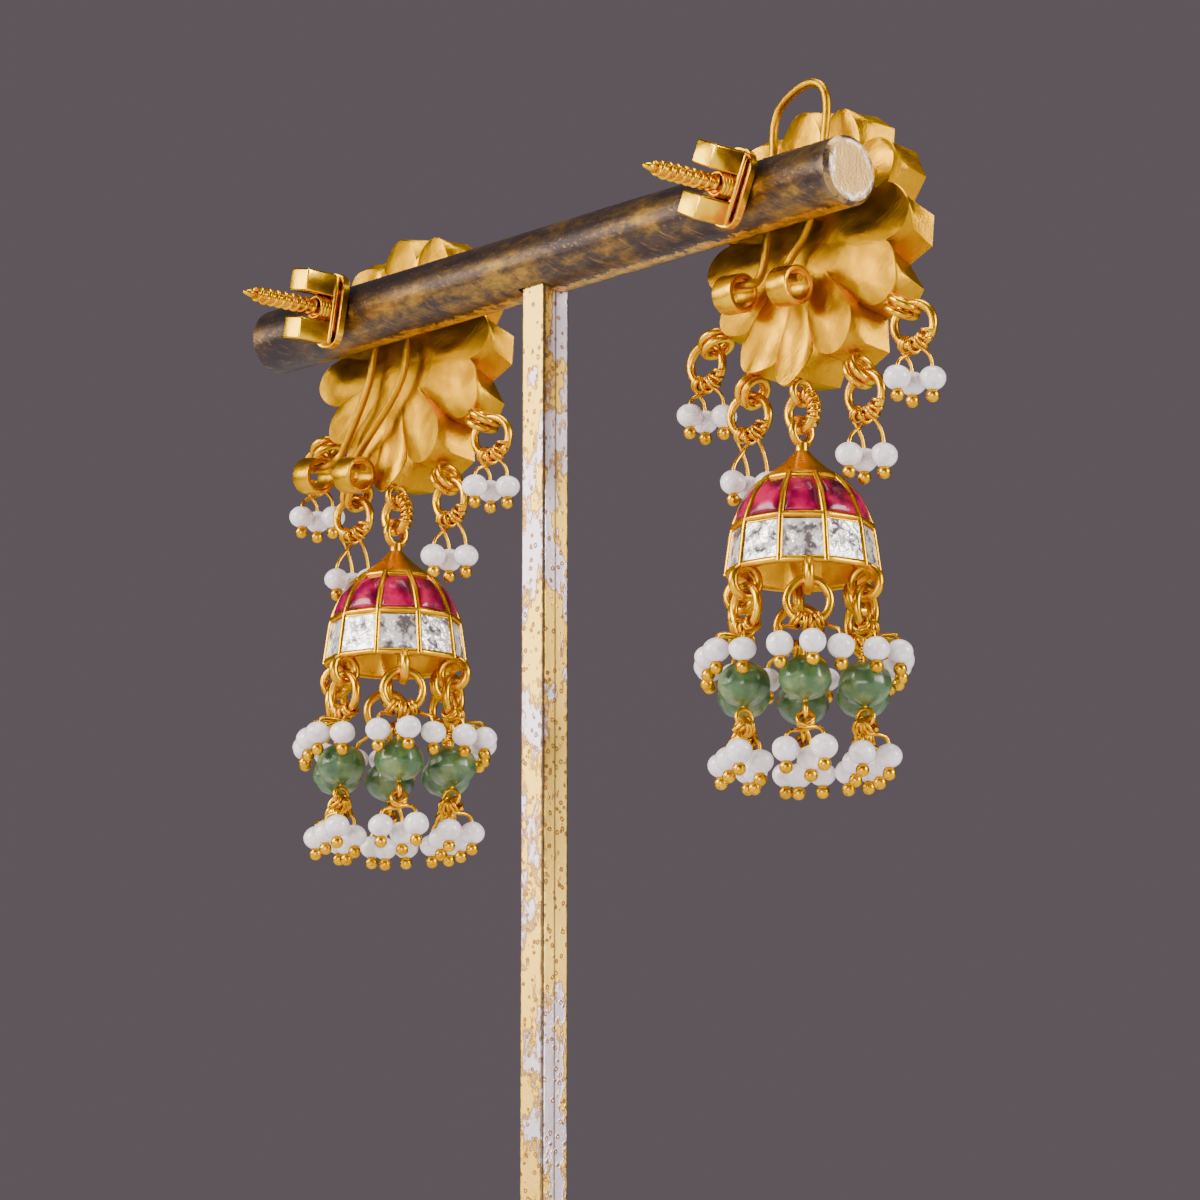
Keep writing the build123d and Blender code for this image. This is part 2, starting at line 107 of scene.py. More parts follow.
# Crossbar: a round bar with a dark bronze plating that has worn through to ochre in patches,
# with fine slanting scratches, a painted gold reflection along its underside and a worn pale end.
class Finish:
    """A material and short ways to add and join its nodes."""

    def __init__(self, name, roughness, metallic=0.0):
        self.material = bpy.data.materials.new(name)
        self.material.use_nodes = True
        self.nodes = self.material.node_tree.nodes
        self.links = self.material.node_tree.links
        self.shader = self.nodes["Principled BSDF"]
        self.shader.inputs["Roughness"].default_value = roughness
        self.shader.inputs["Metallic"].default_value = metallic
        self.place = self.nodes.new("ShaderNodeTexCoord").outputs["Object"]

    def mapped(self, centre=(0, 0, 0), turn=(0, 0, 0), scale=(1, 1, 1)):
        """Places moved to a centre, turned and stretched by a scale."""
        node = self.nodes.new("ShaderNodeMapping")
        node.vector_type = "TEXTURE"
        node.inputs["Location"].default_value = centre
        node.inputs["Rotation"].default_value = turn
        node.inputs["Scale"].default_value = scale
        self.links.new(self.place, node.inputs["Vector"])
        return node.outputs["Vector"]

    def noise(self, size, detail=3.0, rough=0.55, at=None):
        """Cloudy noise whose blotches are about size metres across."""
        node = self.nodes.new("ShaderNodeTexNoise")
        node.inputs["Scale"].default_value = 1 / size
        node.inputs["Detail"].default_value = detail
        node.inputs["Roughness"].default_value = rough
        self.links.new(at or self.place, node.inputs["Vector"])
        return node.outputs["Fac"]

    def cells(self, size):
        """Distance from scattered points that lie about size metres apart."""
        node = self.nodes.new("ShaderNodeTexVoronoi")
        node.inputs["Scale"].default_value = 1 / size
        self.links.new(self.place, node.inputs["Vector"])
        return node.outputs["Distance"]

    def ramp(self, value, *stops):
        """Colours or grey levels at positions along a value."""
        node = self.nodes.new("ShaderNodeValToRGB")
        band = node.color_ramp.elements
        band[0].position = stops[0][0]
        band[1].position = stops[-1][0]
        for where, _ in stops[1:-1]:
            band.new(where)
        for element, (_, shade) in zip(band, stops):
            element.color = (*shade, 1) if isinstance(shade, tuple) else (shade, shade, shade, 1)
        self.links.new(value, node.inputs["Fac"])
        return node.outputs["Color"]

    def maths(self, kind, a, b=0):
        """One sum, product or comparison of two values or numbers."""
        node = self.nodes.new("ShaderNodeMath")
        node.operation = kind
        for socket, value in zip(node.inputs, (a, b)):
            if isinstance(value, (int, float)):
                socket.default_value = value
            else:
                self.links.new(value, socket)
        return node.outputs["Value"]

    def axis(self, name):
        node = self.nodes.new("ShaderNodeSeparateXYZ")
        self.links.new(self.place, node.inputs["Vector"])
        return node.outputs[name]

    def mix(self, share, a, b):
        """One colour laid over another by a share between 0 and 1."""
        node = self.nodes.new("ShaderNodeMix")
        node.data_type = "RGBA"
        colour_sockets = [socket for socket in node.inputs if socket.type == "RGBA"]
        for socket, value in zip([node.inputs[0]] + colour_sockets, (share, a, b)):
            if isinstance(value, tuple):
                socket.default_value = (*value, 1)
            elif isinstance(value, (int, float)):
                socket.default_value = value
            else:
                self.links.new(value, socket)
        return next(socket for socket in node.outputs if socket.type == "RGBA")

    def colour(self, value):
        self.links.new(value, self.shader.inputs["Base Color"])

    def rough(self, value, low, high):
        """Roughness between two levels."""
        node = self.nodes.new("ShaderNodeMapRange")
        node.inputs["To Min"].default_value = low
        node.inputs["To Max"].default_value = high
        self.links.new(value, node.inputs["Value"])
        self.links.new(node.outputs["Result"], self.shader.inputs["Roughness"])

    def bump(self, value, depth, strength):
        """Fine relief, laid over any relief that is there already."""
        node = self.nodes.new("ShaderNodeBump")
        node.inputs["Distance"].default_value = depth
        node.inputs["Strength"].default_value = strength
        self.links.new(value, node.inputs["Height"])
        before = self.shader.inputs["Normal"].links
        if before:
            self.links.new(before[0].from_socket, node.inputs["Normal"])
        self.links.new(node.outputs["Normal"], self.shader.inputs["Normal"])


def paint(node, finish):
    """A CAD node that keeps its shape and takes a finish."""
    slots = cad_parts[node].data.materials
    slots.clear()
    slots.append(finish.material)


bar_low, bar_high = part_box("bar")
bar_axis = (bar_low + bar_high) / 2
bar_radius = (bar_high.z - bar_low.z) / 2

UNDERSIDE_FROM, FAR_END_PLAIN = 0.952 * bar_radius, 9 * MM
END_DEPTH, END_WEAR = 0.45 * MM, 2.1 * MM
ENDLESS = 1e6

bronze = Finish("bronze", 0.42, 0.8)
patches = bronze.noise(5 * MM, 7, 0.72, bronze.mapped(centre=(0.031, 0, 0.004), scale=(2.4, 1, 1)))
grime = bronze.noise(2.2 * MM, 6, 0.7, bronze.mapped(turn=(0, 0, 0.6), scale=(3.0, 1, 1)))
bare = bronze.ramp(patches, (0.40, (0.034, 0.024, 0.026)), (0.50, (0.080, 0.050, 0.032)),
                   (0.57, (0.21, 0.115, 0.024)), (0.68, (0.48, 0.25, 0.030)))
soiled = bronze.mix(bronze.ramp(grime, (0.44, 0.0), (0.62, 0.85)), bare, (0.034, 0.024, 0.028))
scratch = bronze.noise(0.5 * MM, 4, 0.7, bronze.mapped(turn=(0, 0.5, 0.5), scale=(9, 0.5, 0.5)))
soiled = bronze.mix(bronze.ramp(scratch, (0.58, 0.0), (0.66, 0.55)), soiled, (0.34, 0.19, 0.04))

# A painted gold reflection in a band along the underside, broken up by noise. It begins a
# little way in from the far end.
below = bronze.maths("SUBTRACT", bar_axis.z - UNDERSIDE_FROM, bronze.axis("Z"))
wander = bronze.maths("MULTIPLY", bronze.maths("SUBTRACT", bronze.noise(1.2 * MM, 5, 0.7), 0.5), 0.7 * MM)
reflection_height = bronze.maths("MULTIPLY", bronze.maths("ADD", below, wander), 8000)
reflection_breakup = bronze.ramp(bronze.noise(0.9 * MM, 5, 0.7), (0.40, 0.25), (0.54, 1.0))
from_far_end = bronze.maths("SUBTRACT", bronze.axis("X"), bar_low.x + FAR_END_PLAIN)
begun = bronze.ramp(bronze.maths("MULTIPLY", from_far_end, 120), (0.0, 0.0), (1.0, 1.0))
reflection_breakup = bronze.maths("MULTIPLY", reflection_breakup, begun)
painted_reflection = bronze.maths("MULTIPLY", bronze.ramp(reflection_height, (0.10, 0.0), (0.60, 0.95)), reflection_breakup)
with_reflection = bronze.mix(painted_reflection, soiled, (0.80, 0.43, 0.015))

# The near end: pale bare metal in the middle, a worn ring round it and a dark chamfer.
from_axis = bronze.nodes.new("ShaderNodeVectorMath")
from_axis.operation = "LENGTH"
bronze.links.new(bronze.mapped(centre=tuple(bar_axis), scale=(ENDLESS, 1, 1)), from_axis.inputs[0])
uneven = bronze.maths("MULTIPLY", bronze.maths("SUBTRACT", bronze.noise(1.1 * MM, 4), 0.5), 1.5 * MM)
ring_wear = bronze.maths("ADD", from_axis.outputs["Value"], uneven)
end_face = bronze.ramp(bronze.maths("MULTIPLY", ring_wear, 1 / bar_radius),
                       (0.0, (0.40, 0.23, 0.065)), (0.66, (0.46, 0.28, 0.09)), (0.72, (0.48, 0.33, 0.18)),
                       (0.77, (0.76, 0.66, 0.64)), (0.82, (0.30, 0.21, 0.13)), (0.88, (0.09, 0.06, 0.04)))
dusty = bronze.ramp(bronze.noise(1.3 * MM, 4, 0.65), (0.46, 0.0), (0.54, 0.9))
end_face = bronze.mix(dusty, end_face, (0.38, 0.22, 0.07))
at_end = bronze.maths("GREATER_THAN", bronze.axis("X"), bar_high.x - END_DEPTH)
near_end = bronze.maths("SUBTRACT", bronze.axis("X"), bar_high.x - END_WEAR)
worn_end = bronze.maths("ADD", bronze.maths("MULTIPLY", near_end, 420), bronze.noise(2.4 * MM, 3))
worn_share = bronze.ramp(bronze.maths("MULTIPLY", worn_end, 0.5), (0.47, 0.0), (0.66, 0.65))
tip = bronze.mix(worn_share, with_reflection, (0.27, 0.19, 0.12))
bronze.colour(bronze.mix(at_end, tip, end_face))
bronze.rough(grime, 0.20, 0.44)
bronze.bump(scratch, 0.05 * MM, 0.7)
paint("bar", bronze)

# Upright: a square bar in pale gold plating. The plating is thin: it shows silvery areas and
# brown rings where it has blistered. Its corners are coloured darker.
post_low, post_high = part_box("upright")
half_side = (post_high.x - post_low.x) / 2
SEAM_AT, SEAM_SCALE = 0.46, 0.5 * MM

pale_gold = Finish("pale_gold", 0.3, 0.7)
cloud = pale_gold.noise(4.2 * MM, 7, 0.62, pale_gold.mapped(scale=(1, 1, 1.8)))
plate = pale_gold.ramp(cloud, (0.36, (0.70, 0.60, 0.68)), (0.462, (0.76, 0.64, 0.66)),
                       (0.472, (0.98, 0.60, 0.10)), (0.62, (1.0, 0.64, 0.11)))
shore = pale_gold.ramp(cloud, (0.445, 0.0), (0.464, 0.75), (0.478, 0.75), (0.490, 0.0))

# Blisters: small brown rings, and a brown shore round each silvery area.
speck = pale_gold.cells(0.80 * MM)
speck_on = pale_gold.ramp(pale_gold.noise(2.6 * MM, 3), (0.34, 0.3), (0.44, 1.0))
frayed = pale_gold.maths("MULTIPLY", pale_gold.noise(0.4 * MM, 2), 0.30)
speck_size = pale_gold.maths("ADD", speck, frayed)
ring_mark = pale_gold.ramp(speck_size, (0.22, 0.2), (0.30, 1.0), (0.40, 0.9), (0.47, 0.0))
blister = pale_gold.maths("MAXIMUM", pale_gold.maths("MULTIPLY", ring_mark, speck_on), shore)
marked = pale_gold.mix(blister, plate, (0.30, 0.12, 0.02))

# One dark line down each flank, and corners coloured darker than the faces.
across_x = pale_gold.maths("ABSOLUTE", pale_gold.axis("X"))
across_y = pale_gold.maths("ABSOLUTE", pale_gold.axis("Y"))
seam_y = post_low.y + (post_high.y - post_low.y) * SEAM_AT
seam_off = pale_gold.maths("ABSOLUTE", pale_gold.maths("SUBTRACT", pale_gold.axis("Y"), seam_y))
seam = pale_gold.ramp(pale_gold.maths("MULTIPLY", seam_off, 1 / SEAM_SCALE), (0.12, 0.85), (0.26, 0.0))
flank = pale_gold.maths("GREATER_THAN", across_x, post_high.x * 0.93)
marked = pale_gold.mix(pale_gold.maths("MULTIPLY", seam, flank), marked, (0.14, 0.07, 0.03))
corner = pale_gold.maths("MINIMUM", across_x, across_y)
ragged = pale_gold.maths("MULTIPLY", pale_gold.noise(0.9 * MM, 5, 0.7), 0.5 * MM)
corner_reach = pale_gold.maths("ADD", corner, ragged)
corner_dark = pale_gold.ramp(pale_gold.maths("MULTIPLY", corner_reach, 1 / (2 * MM)), (0.71, 0.0), (0.80, 0.95))
on_post = pale_gold.maths("LESS_THAN", corner, half_side * 1.02)
dark_corners = pale_gold.maths("MULTIPLY", corner_dark, on_post)
pale_gold.colour(pale_gold.mix(dark_corners, marked, (0.09, 0.05, 0.025)))
pale_gold.rough(cloud, 0.22, 0.40)
pale_gold.bump(blister, 0.03 * MM, 0.6)
pale_gold.bump(pale_gold.noise(0.35 * MM, 4), 0.02 * MM, 0.4)
paint("upright", pale_gold)

# Base: a plain square plate in the same pale gold, heavy enough to keep the stand upright.
# Its top edge is chamfered and its corners are round.
base_gold = Finish("base_gold", 0.34, 0.85)
haze = base_gold.noise(14 * MM, 5, 0.6)
base_gold.colour(base_gold.ramp(haze, (0.35, (0.70, 0.64, 0.62)), (0.5, (0.80, 0.66, 0.44)),
                                (0.7, (0.84, 0.69, 0.40))))
base_gold.rough(haze, 0.28, 0.46)
base_gold.bump(base_gold.noise(0.5 * MM, 4, at=base_gold.mapped(scale=(12, 1, 1))), 0.02 * MM, 0.5)
paint("base", base_gold)

# Yellow gold: the finish of every metal piece of the earrings. It is a satin, slightly
# orange plating. The flowers and support wires have a duller one, brushed in fine lines.
GOLD_EDGE = (1.0, 0.84, 0.36, 1)
gold = Finish("yellow_gold", 0.4, 1.0)
tone = gold.noise(2.6 * MM, 5, 0.6)
gold.colour(gold.ramp(tone, (0.30, (0.54, 0.245, 0.0)), (0.50, (0.75, 0.38, 0.001)),
                      (0.72, (0.90, 0.50, 0.004))))
gold.shader.inputs["Specular Tint"].default_value = GOLD_EDGE
gold.rough(gold.noise(0.8 * MM, 4), 0.20, 0.40)
gold.bump(gold.noise(0.16 * MM, 3, 0.6), 0.012 * MM, 0.7)
gold.bump(gold.noise(1.3 * MM, 3), 0.05 * MM, 0.5)

brushed_gold = Finish("brushed_gold", 0.45, 1.0)
tone = brushed_gold.noise(3.5 * MM, 5, 0.6)
brushed_gold.colour(brushed_gold.ramp(tone, (0.30, (0.42, 0.195, 0.0)), (0.55, (0.54, 0.265, 0.0)),
                                      (0.75, (0.66, 0.345, 0.002))))
brushed_gold.shader.inputs["Specular Tint"].default_value = GOLD_EDGE
brushed_gold.rough(brushed_gold.noise(1.2 * MM, 4), 0.26, 0.42)
strokes = brushed_gold.mapped(turn=(0.3, 0.9, 0.2), scale=(1, 1, 5))
brushed_gold.bump(brushed_gold.noise(0.24 * MM, 4, 0.7, strokes), 0.055 * MM, 1.0)


def finish_piece(name, bm, finish, body, slot, *nodes):
    """Turns a bmesh into a piece of the earring that rides on a body and stands for CAD nodes."""
    mesh = bpy.data.meshes.new(name)
    for face in bm.faces:
        face.smooth = True
    bm.to_mesh(mesh)
    bm.free()
    mesh.materials.append(finish.material)
    thing = bpy.data.objects.new(name, mesh)
    bpy.context.collection.objects.link(thing)
    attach(thing, body)
    if nodes:
        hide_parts(*nodes)
    return thing


def soften(thing, width, segments, angle):
    """Rounds the crisp edges of a piece, as filing and polishing do. The angle is in degrees."""
    bevel = thing.modifiers.new("softened edges", "BEVEL")
    bevel.width = width
    bevel.segments = segments
    bevel.limit_method = "ANGLE"
    bevel.angle_limit = radians(angle)


def add_wire(bm, route, radius, closed=False, steps=4, roundness=2):
    """Round wire along a smooth route, added to a bmesh. The route's points steer it."""
    curve = bpy.data.curves.new("route", "CURVE")
    curve.dimensions = "3D"
    curve.fill_mode = "FULL"
    curve.bevel_depth = radius
    curve.bevel_resolution = roundness
    curve.resolution_u = steps
    curve.use_fill_caps = not closed
    spline = curve.splines.new("NURBS")
    spline.points.add(len(route) - 1)
    for point, place in zip(spline.points, route):
        point.co = (*place, 1)
    spline.use_cyclic_u = closed
    spline.order_u = 3
    spline.use_endpoint_u = not closed
    holder = bpy.data.objects.new("route", curve)
    mesh = bpy.data.meshes.new_from_object(holder)
    bm.from_mesh(mesh)
    bpy.data.objects.remove(holder)
    bpy.data.curves.remove(curve)
    bpy.data.meshes.remove(mesh)


def solids_of(node):
    """Lowest and highest corner of each loose solid in a CAD node, in order of place."""
    bm = bmesh.new()
    bm.from_mesh(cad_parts[node].data)
    bmesh.ops.remove_doubles(bm, verts=bm.verts, dist=1e-7)
    unseen = set(bm.verts)
    found = []
    while unseen:
        front = [unseen.pop()]
        group = list(front)
        while front:
            for edge in front.pop().link_edges:
                for vert in edge.verts:
                    if vert in unseen:
                        unseen.remove(vert)
                        front.append(vert)
                        group.append(vert)
        low = Vector([min(v.co[i] for v in group) for i in range(3)])
        high = Vector([max(v.co[i] for v in group) for i in range(3)])
        found.append((low, high))
    bm.free()
    return sorted(found, key=lambda box: [round(a / (0.01 * MM)) for a in box[0]])


def middle_of(box):
    return (box[0] + box[1]) / 2


SIDES = ("left", "right")
nut_middle = {side: middle_of(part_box(f"nut_{side}")) for side in SIDES}

# Flower stud: twelve petals raised from sheet, with a wall round the edge folded to a flat
# end on each petal. The back is a brushed sheet cut in uneven tongues that swell and overlap.
PETALS, PETAL_TURN = 12, radians(-3)
FLOWER_BACK, FLOWER_FRONT = 4.3, 8.1
FLOWER_DROP = -3.4
BACK_RINGS, WALL_RINGS, FRONT_RINGS = 26, 8, 18
PETAL_STEPS = 24
SPOKES = PETAL_STEPS * PETALS
HEART_RADIUS, HEART_DEPTH = 3.1, 0.42
GRAINS, GRAIN_RADIUS, GRAIN_REACH = 24, 0.42, 3.55
# Tongues of the back: the angle where each begins, its reach there and at its tip in mm, how
# far its first and its second side lie from the sheet, and how far its tip curls.
TONGUES = ((-8.5, 9.4, 12.1, 0.15, 0.1, -0.3), (20, 10.3, 12.0, 0.1, 0.4, -0.5),
           (50, 9.8, 12.0, 0.1, 0.3, 0.0), (80, 9.6, 12.0, 0.1, 0.5, -0.3),
           (110, 9.8, 11.8, 0.1, 0.4, 0.1), (140, 9.6, 12.0, 0.0, 0.5, 0.2),
           (168, 9.9, 12.0, 0.3, 0.1, 0.3), (195, 9.6, 11.7, 0.1, 0.3, 0.2),
           (220, 9.4, 12.1, 0.2, 0.15, 0.6), (248, 10.2, 12.2, 0.1, 0.3, 0.8),
           (274, 8.4, 11.0, 0.0, -0.45, 0.2), (313, 8.1, 11.6, 0.7, 0.15, -0.1))
# Corners of a petal's front: share of its half width from its middle, and reach in mm.
PETAL_CORNERS = ((-1, 9.6), (-0.42, 11.9), (0.42, 12.0), (1, 9.6))


def back_edge(petal, off):
    """Outline of the back at a share of a tongue's width from its middle, as (x, z) in mm."""
    start, fold, tip = TONGUES[petal][:3]
    end, next_fold = TONGUES[(petal + 1) % PETALS][:2]
    side_way = (off + 1) / 2
    angle = radians(start + (end - start) % 360 * side_way)
    low = fold + (next_fold - fold) * side_way
    reach = low + (tip - low) * (1 - abs(off) ** 1.7) ** 0.8
    return Vector((reach * cos(angle), reach * sin(angle)))


def front_edge(petal, off):
    """Outline of the front: each petal ends in a flat between two straight flanks."""
    for (a, near), (b, far) in zip(PETAL_CORNERS, PETAL_CORNERS[1:]):
        if off <= b:
            turns = [PETAL_TURN + (petal + share / 2) * tau / PETALS for share in (a, b)]
            ends = [Vector((cos(t), sin(t))) * r for t, r in zip(turns, (near, far))]
            return ends[0].lerp(ends[1], (off - a) / (b - a))


def flower_point(spoke, ring):
    """A point of the flower as (x, y, z) in mm about its centre, from the back's middle outwards."""
    petal, step = divmod(spoke, PETAL_STEPS)
    off = step / PETAL_STEPS * 2 - 1
    first, second, curl = TONGUES[petal][3:]
    back, front = back_edge(petal, off), front_edge(petal, off)
    if ring <= BACK_RINGS:
        share = ring / BACK_RINGS
        place = back * min(share, 0.992)
        lift = max(0, (share - 0.42) / 0.58) ** 1.5
        crease = 0.22 * abs(off) ** 2.4 + first * (1 - off) / 2 + second * (1 + off) / 2
        hammer = 0.34 * noise.noise(place.to_3d() * 0.30) + 0.06 * noise.noise(place.to_3d() * 0.9)
        y = FLOWER_BACK + 0.35 + crease * lift + hammer * min(1, share * 2.5)
        y -= curl * max(0, (share - 0.45) / 0.55) ** 1.8 * (1 - off ** 2)
    elif ring <= BACK_RINGS + WALL_RINGS:
        share = (ring - BACK_RINGS - 1) / (WALL_RINGS - 1)
        edge = flower_point(spoke, BACK_RINGS)[1] + 0.12
        place = back.lerp(front, min(1, 0.25 * (share > 0) + 0.75 * share))
        y = edge + (FLOWER_FRONT - edge) * share
    else:
        share = 1 - (ring - BACK_RINGS - WALL_RINGS) / FRONT_RINGS
        place = front * share
        swell = 1 - off ** 2
        dome = sin(pi * min(1, max(0, (share - 0.40) / 0.60))) ** 0.7
        y = FLOWER_FRONT + 0.68 * dome * swell - 0.25 * (1 - swell) * share
    return place.x, y, place.y


for side in SIDES:
    middle = nut_middle[side]
    bm = bmesh.new()
    rings = BACK_RINGS + WALL_RINGS + FRONT_RINGS
    bmesh.ops.create_uvsphere(bm, u_segments=SPOKES, v_segments=rings, radius=1)
    for vert in bm.verts:
        rise = atan2(vert.co.z, sqrt(vert.co.x ** 2 + vert.co.y ** 2))
        ring = round((1 + 2 * rise / pi) / 2 * rings)
        spoke = round(atan2(vert.co.y, vert.co.x) / tau * SPOKES) % SPOKES
        x, y, z = flower_point(spoke, ring)
        vert.co = Vector((middle.x + x * MM, y * MM, middle.z + (z + FLOWER_DROP) * MM))
    bmesh.ops.recalc_face_normals(bm, faces=bm.faces)
    flower = finish_piece(f"flower_{side}", bm, brushed_gold, "stand", "gold", f"stud_{side}")
    flower.data.set_sharp_from_angle(angle=radians(32))

    # The heart on the front: a low boss with a ring of grains round it.
    bm = bmesh.new()
    heart = Vector((middle.x, (FLOWER_FRONT + 0.15) * MM, middle.z + FLOWER_DROP * MM))
    bmesh.ops.create_uvsphere(bm, u_segments=48, v_segments=24, radius=HEART_RADIUS * MM)
    bmesh.ops.scale(bm, vec=(1, HEART_DEPTH, 1), verts=bm.verts)
    bmesh.ops.translate(bm, vec=heart, verts=bm.verts)
    for k in range(GRAINS):
        turn = tau * k / GRAINS
        grain = bmesh.ops.create_icosphere(bm, subdivisions=2, radius=GRAIN_RADIUS * MM)["verts"]
        way = Vector((cos(turn), 0.05, sin(turn)))
        bmesh.ops.translate(bm, verts=grain, vec=heart + way * GRAIN_REACH * MM)
    finish_piece(f"flower_heart_{side}", bm, gold, "stand", "gold")

# Screw post: a round pin soldered to the flower's back, with a coarse thread and a short point.
# It goes through a hole in the bar.
SCREW_CORE, THREAD_PITCH, THREAD_WIRE = 0.58, 0.86, 0.22
THREAD_TURNS, THREAD_STEPS = 14, 12
SCREW_ROOT, POINT_LENGTH = 4.7, 1.5
for side in SIDES:
    middle = nut_middle[side]
    tip_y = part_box(f"stud_{side}")[0].y
    bm = bmesh.new()
    shank = (SCREW_ROOT * MM, 0, -6 * MM, tip_y + 1.3 * MM)
    route = [Vector((middle.x, y, middle.z)) for y in shank]
    add_wire(bm, route, SCREW_CORE * MM, roundness=6)
    point = bmesh.ops.create_cone(bm, cap_ends=True, segments=20, radius1=0.56 * MM, radius2=0.14 * MM,
                                  depth=POINT_LENGTH * MM)["verts"]
    bmesh.ops.rotate(bm, cent=(0, 0, 0), matrix=Matrix.Rotation(pi / 2, 3, "X"), verts=point)
    bmesh.ops.translate(bm, vec=(middle.x, tip_y + POINT_LENGTH / 2 * MM, middle.z), verts=point)
    helix = []
    for k in range(THREAD_TURNS * THREAD_STEPS):
        turn = tau * k / THREAD_STEPS
        y = tip_y + (0.9 + THREAD_PITCH * k / THREAD_STEPS) * MM
        reach = (SCREW_CORE + 0.04) * min(1, 0.5 + k / 36) * MM
        helix.append(Vector((middle.x + reach * cos(turn), y, middle.z + reach * sin(turn))))
    add_wire(bm, helix, THREAD_WIRE * MM, steps=2, roundness=3)
    finish_piece(f"screw_{side}", bm, gold, "stand", "gold")

# Nut: a pressed plate with rounded ends and two thick ears folded out from it, on a short
# threaded hub. Its flats are polished. Each nut stands a little turned on its screw.
NUT_TURN = {"left": radians(12), "right": radians(25)}
NUT_BACK, PLATE_T, STRIP_T = -3.08, 0.75, 0.42
EAR_SIZE, EAR_PITCH = (2.5, 3.4, 2.05), 2.2
HUB_RADIUS, HUB_WIRE, HUB_PITCH = 0.98, 0.24, 0.36

polished_gold = Finish("polished_gold", 0.2, 1.0)
tone = polished_gold.noise(2.2 * MM, 3, 0.5)
polished_gold.colour(polished_gold.ramp(tone, (0.35, (0.80, 0.42, 0.0)), (0.65, (0.95, 0.57, 0.008))))
polished_gold.shader.inputs["Specular Tint"].default_value = (1.0, 0.84, 0.50, 1)
polished_gold.rough(polished_gold.noise(0.9 * MM, 4), 0.12, 0.26)
polished_gold.bump(polished_gold.noise(1.1 * MM, 3), 0.04 * MM, 0.5)


def add_block(bm, size, place, rounding, along=None):
    """A block with rounded edges, or only with its edges along one axis rounded. All in mm."""
    cube = bmesh.ops.create_cube(bm, size=1)["verts"]
    bmesh.ops.scale(bm, vec=Vector(size) * MM, verts=cube)
    edges = list(dict.fromkeys(edge for vert in cube for edge in vert.link_edges))
    if along is not None:
        edges = [e for e in edges if abs((e.verts[0].co - e.verts[1].co).normalized()[along]) > 0.9]
    made = bmesh.ops.bevel(bm, geom=edges, offset=rounding * MM, segments=5, profile=0.5,
                           affect="EDGES", material=-1)
    cube = list({vert for vert in cube if vert.is_valid} | set(made["verts"]))
    bmesh.ops.translate(bm, vec=Vector(place) * MM, verts=cube)


for side in SIDES:
    middle = Vector((nut_middle[side].x, 0, nut_middle[side].z))
    turned = Matrix.Rotation(NUT_TURN[side], 3, "Y")
    front_y = NUT_BACK - PLATE_T - 0.22 - STRIP_T / 2
    bm = bmesh.new()
    add_block(bm, (3.4, PLATE_T, 6.9), (0, NUT_BACK - PLATE_T / 2, 0), 1.45, 1)
    add_block(bm, (1.6, 0.5, 4.0), (0, NUT_BACK - PLATE_T - 0.1, 0), 0.2, 1)
    add_block(bm, (2.6, STRIP_T, 6.2), (0, front_y, 0), 0.15)
    for up in (1, -1):
        ear_y = front_y - STRIP_T / 2 - EAR_SIZE[1] / 2 + 0.1
        add_block(bm, EAR_SIZE, (0, ear_y, up * EAR_PITCH), 0.17)
    bmesh.ops.rotate(bm, cent=(0, 0, 0), matrix=turned, verts=bm.verts)
    bmesh.ops.translate(bm, vec=middle, verts=bm.verts)
    nut = finish_piece(f"nut_plate_{side}", bm, polished_gold, f"nut_{side}", "gold", f"nut_{side}")
    nut.data.set_sharp_from_angle(angle=radians(35))
    soften(nut, 0.07 * MM, 2, 35)
    bm = bmesh.new()
    for k in range(3):
        route = []
        for step in range(16):
            turn = tau * step / 16
            hub = Vector((HUB_RADIUS * cos(turn), front_y - 0.4 - HUB_PITCH * k, HUB_RADIUS * sin(turn)))
            route.append(middle + hub * MM)
        add_wire(bm, route, HUB_WIRE * MM, closed=True)
    finish_piece(f"nut_hub_{side}", bm, gold, f"nut_{side}", "gold")

# Wire support: a smooth bent wire with a short tube on each foot, which hangs round the post
# and rests behind the flower. The tubes are cut from thin pipe and their rims are filed.
SUPPORT_Y, SUPPORT_WIRE = 3.6, 0.37
# The wire's bends from its left foot to its right one, as (x, z) in mm from the post.
SUPPORT_ROUTE = {
    "left": ((-7.6, -11.5), (-6.7, -10.4), (-3.2, -5.3), (-2.5, -1.6), (-1.6, 1.2), (1.7, 1.35),
             (2.3, -2.2), (1.6, -6.0), (-4.2, -10.9), (-5.5, -12.2)),
    "right": ((-4.1, -6.0), (-3.3, -2.0), (-2.5, 4.6), (-2.5, 7.9), (-1.0, 9.5), (2.1, 10.5),
              (4.2, 9.0), (3.6, 4.4), (2.0, -2.2), (-1.2, -5.2)),
}


def rounded_copy(node, name, body):
    """A gold CAD solid's own shape as one closed mesh, with its crisp edges rounded."""
    bm = bmesh.new()
    bm.from_mesh(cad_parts[node].data)
    bmesh.ops.remove_doubles(bm, verts=bm.verts, dist=1e-6)
    bmesh.ops.dissolve_limit(bm, angle_limit=radians(1), verts=bm.verts, edges=bm.edges)
    thing = finish_piece(name, bm, gold, body, "gold", node)
    soften(thing, 0.10 * MM, 3, 20)


